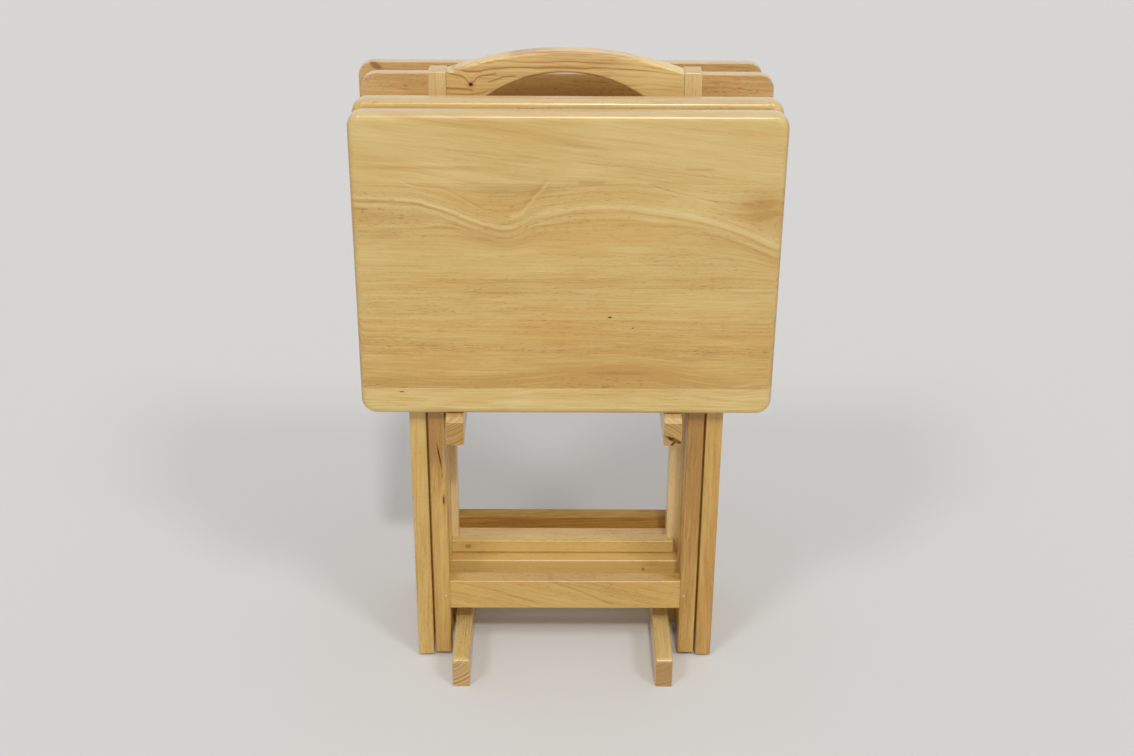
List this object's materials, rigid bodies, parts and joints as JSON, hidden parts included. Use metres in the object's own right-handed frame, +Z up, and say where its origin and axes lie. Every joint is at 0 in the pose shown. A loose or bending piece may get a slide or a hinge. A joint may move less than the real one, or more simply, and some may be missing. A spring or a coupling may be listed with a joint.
{
  "type": "tray table set",
  "caption": "Wooden folding tray tables stored upright on a carry stand with an arched handle; each lifts off and opens on a scissor frame into a small serving table.",
  "frame": {"origin": "on the floor under the middle of the stand", "axes": "+X to the viewer's right, +Y away from the viewer, +Z up"},
  "size_m": [0.4904, 0.307, 0.7735],
  "materials": {
    "top_wood": "satin clear lacquer",
    "frame_wood": "satin clear lacquer",
    "stand_wood": "satin clear lacquer",
    "bolt_steel": "zinc plated",
    "pin_steel": "plain"
  },
  "bodies": {
    "stand": {"post_left": "stand_wood", "post_right": "stand_wood", "arm_left": "stand_wood", "arm_right": "stand_wood", "foot_left": "stand_wood", "foot_right": "stand_wood", "handle": "stand_wood", "rail": "stand_wood"},
    "carrier_1": {"pivot_bolts_1": "bolt_steel"},
    "outer_frame_1": {"outer_leg_left_1": "frame_wood", "outer_leg_right_1": "frame_wood"},
    "inner_frame_1": {"inner_leg_left_1": "frame_wood", "inner_leg_right_1": "frame_wood", "stretcher_1": "frame_wood", "stretcher_pins_1": "pin_steel"},
    "bar_1": {"crossbar_1": "frame_wood"},
    "board_1": {"top_1": "top_wood", "cleat_left_1": "frame_wood", "cleat_right_1": "frame_wood", "hinge_bolts_1": "bolt_steel", "catch_1": "frame_wood"},
    "carrier_2": {"pivot_bolts_2": "bolt_steel"},
    "outer_frame_2": {"outer_leg_left_2": "frame_wood", "outer_leg_right_2": "frame_wood"},
    "inner_frame_2": {"inner_leg_left_2": "frame_wood", "inner_leg_right_2": "frame_wood", "stretcher_2": "frame_wood", "stretcher_pins_2": "pin_steel"},
    "bar_2": {"crossbar_2": "frame_wood"},
    "board_2": {"top_2": "top_wood", "cleat_left_2": "frame_wood", "cleat_right_2": "frame_wood", "hinge_bolts_2": "bolt_steel", "catch_2": "frame_wood"},
    "carrier_3": {"pivot_bolts_3": "bolt_steel"},
    "outer_frame_3": {"outer_leg_left_3": "frame_wood", "outer_leg_right_3": "frame_wood"},
    "inner_frame_3": {"inner_leg_left_3": "frame_wood", "inner_leg_right_3": "frame_wood", "stretcher_3": "frame_wood", "stretcher_pins_3": "pin_steel"},
    "bar_3": {"crossbar_3": "frame_wood"},
    "board_3": {"top_3": "top_wood", "cleat_left_3": "frame_wood", "cleat_right_3": "frame_wood", "hinge_bolts_3": "bolt_steel", "catch_3": "frame_wood"},
    "carrier_4": {"pivot_bolts_4": "bolt_steel"},
    "outer_frame_4": {"outer_leg_left_4": "frame_wood", "outer_leg_right_4": "frame_wood"},
    "inner_frame_4": {"inner_leg_left_4": "frame_wood", "inner_leg_right_4": "frame_wood", "stretcher_4": "frame_wood", "stretcher_pins_4": "pin_steel"},
    "bar_4": {"crossbar_4": "frame_wood"},
    "board_4": {"top_4": "top_wood", "cleat_left_4": "frame_wood", "cleat_right_4": "frame_wood", "hinge_bolts_4": "bolt_steel", "catch_4": "frame_wood"}
  },
  "joints": [
    {"name": "table_1_carry", "type": "slide", "parent": "stand", "child": "carrier_1", "axis": [0, -0.9996, -0.0274], "range_m": [0, 1.25047]},
    {"name": "table_1_outer_scissor", "type": "hinge", "parent": "carrier_1", "child": "outer_frame_1", "pos_m": [0.003, -0.07715, 0.358], "axis": [1, 0, 0], "range_deg": [-24.97, 0]},
    {"name": "table_1_inner_scissor", "type": "hinge", "parent": "carrier_1", "child": "inner_frame_1", "pos_m": [0.003, -0.07715, 0.358], "axis": [1, 0, 0], "range_deg": [0, 24.97]},
    {"name": "table_1_bar_turn", "type": "hinge", "parent": "inner_frame_1", "child": "bar_1", "pos_m": [0.003, -0.07715, 0.6817], "axis": [1, 0, 0], "range_deg": [-114.97, 0]},
    {"name": "table_1_top_slide", "type": "slide", "parent": "bar_1", "child": "board_1", "axis": [0, 0, 1], "range_m": [0, 0.2733]},
    {"name": "table_2_carry", "type": "slide", "parent": "stand", "child": "carrier_2", "axis": [0, -0.9971, -0.0759], "range_m": [0, 0.4513]},
    {"name": "table_2_outer_scissor", "type": "hinge", "parent": "carrier_2", "child": "outer_frame_2", "pos_m": [0.003, -0.02925, 0.358], "axis": [1, 0, 0], "range_deg": [-24.97, 0]},
    {"name": "table_2_inner_scissor", "type": "hinge", "parent": "carrier_2", "child": "inner_frame_2", "pos_m": [0.003, -0.02925, 0.358], "axis": [1, 0, 0], "range_deg": [0, 24.97]},
    {"name": "table_2_bar_turn", "type": "hinge", "parent": "inner_frame_2", "child": "bar_2", "pos_m": [0.003, -0.02925, 0.6817], "axis": [1, 0, 0], "range_deg": [-114.97, 0]},
    {"name": "table_2_top_slide", "type": "slide", "parent": "bar_2", "child": "board_2", "axis": [0, 0, 1], "range_m": [0, 0.2733]},
    {"name": "table_3_carry", "type": "slide", "parent": "stand", "child": "carrier_3", "axis": [0, 0.9971, -0.0759], "range_m": [0, 0.4513]},
    {"name": "table_3_outer_scissor", "type": "hinge", "parent": "carrier_3", "child": "outer_frame_3", "pos_m": [0.003, 0.02925, 0.358], "axis": [-1, 0, 0], "range_deg": [-24.97, 0]},
    {"name": "table_3_inner_scissor", "type": "hinge", "parent": "carrier_3", "child": "inner_frame_3", "pos_m": [0.003, 0.02925, 0.358], "axis": [-1, 0, 0], "range_deg": [0, 24.97]},
    {"name": "table_3_bar_turn", "type": "hinge", "parent": "inner_frame_3", "child": "bar_3", "pos_m": [0.003, 0.02925, 0.6817], "axis": [-1, 0, 0], "range_deg": [-114.97, 0]},
    {"name": "table_3_top_slide", "type": "slide", "parent": "bar_3", "child": "board_3", "axis": [0, 0, 1], "range_m": [0, 0.2733]},
    {"name": "table_4_carry", "type": "slide", "parent": "stand", "child": "carrier_4", "axis": [0, 0.9996, -0.0274], "range_m": [0, 1.25047]},
    {"name": "table_4_outer_scissor", "type": "hinge", "parent": "carrier_4", "child": "outer_frame_4", "pos_m": [-0.0048, 0.07715, 0.358], "axis": [-1, 0, 0], "range_deg": [-24.97, 0]},
    {"name": "table_4_inner_scissor", "type": "hinge", "parent": "carrier_4", "child": "inner_frame_4", "pos_m": [-0.0048, 0.07715, 0.358], "axis": [-1, 0, 0], "range_deg": [0, 24.97]},
    {"name": "table_4_bar_turn", "type": "hinge", "parent": "inner_frame_4", "child": "bar_4", "pos_m": [-0.0048, 0.07715, 0.6817], "axis": [-1, 0, 0], "range_deg": [-114.97, 0]},
    {"name": "table_4_top_slide", "type": "slide", "parent": "bar_4", "child": "board_4", "axis": [0, 0, 1], "range_m": [0, 0.2733]}
  ],
  "couplings": [
    {"joint": "table_1_outer_scissor", "follows": "table_1_carry", "rad_per_m": -0.34852},
    {"joint": "table_1_inner_scissor", "follows": "table_1_carry", "rad_per_m": 0.34852},
    {"joint": "table_1_bar_turn", "follows": "table_1_carry", "rad_per_m": -1.6047},
    {"joint": "table_1_top_slide", "follows": "table_1_carry", "ratio": 0.21856},
    {"joint": "table_2_carry", "follows": "table_1_carry", "ratio": 0.36091},
    {"joint": "table_2_outer_scissor", "follows": "table_1_carry", "rad_per_m": -0.34852},
    {"joint": "table_2_inner_scissor", "follows": "table_1_carry", "rad_per_m": 0.34852},
    {"joint": "table_2_bar_turn", "follows": "table_1_carry", "rad_per_m": -1.6047},
    {"joint": "table_2_top_slide", "follows": "table_1_carry", "ratio": 0.21856},
    {"joint": "table_3_carry", "follows": "table_4_carry", "ratio": 0.36091},
    {"joint": "table_3_outer_scissor", "follows": "table_4_carry", "rad_per_m": -0.34852},
    {"joint": "table_3_inner_scissor", "follows": "table_4_carry", "rad_per_m": 0.34852},
    {"joint": "table_3_bar_turn", "follows": "table_4_carry", "rad_per_m": -1.6047},
    {"joint": "table_3_top_slide", "follows": "table_4_carry", "ratio": 0.21856},
    {"joint": "table_4_outer_scissor", "follows": "table_4_carry", "rad_per_m": -0.34852},
    {"joint": "table_4_inner_scissor", "follows": "table_4_carry", "rad_per_m": 0.34852},
    {"joint": "table_4_bar_turn", "follows": "table_4_carry", "rad_per_m": -1.6047},
    {"joint": "table_4_top_slide", "follows": "table_4_carry", "ratio": 0.21856}
  ]
}
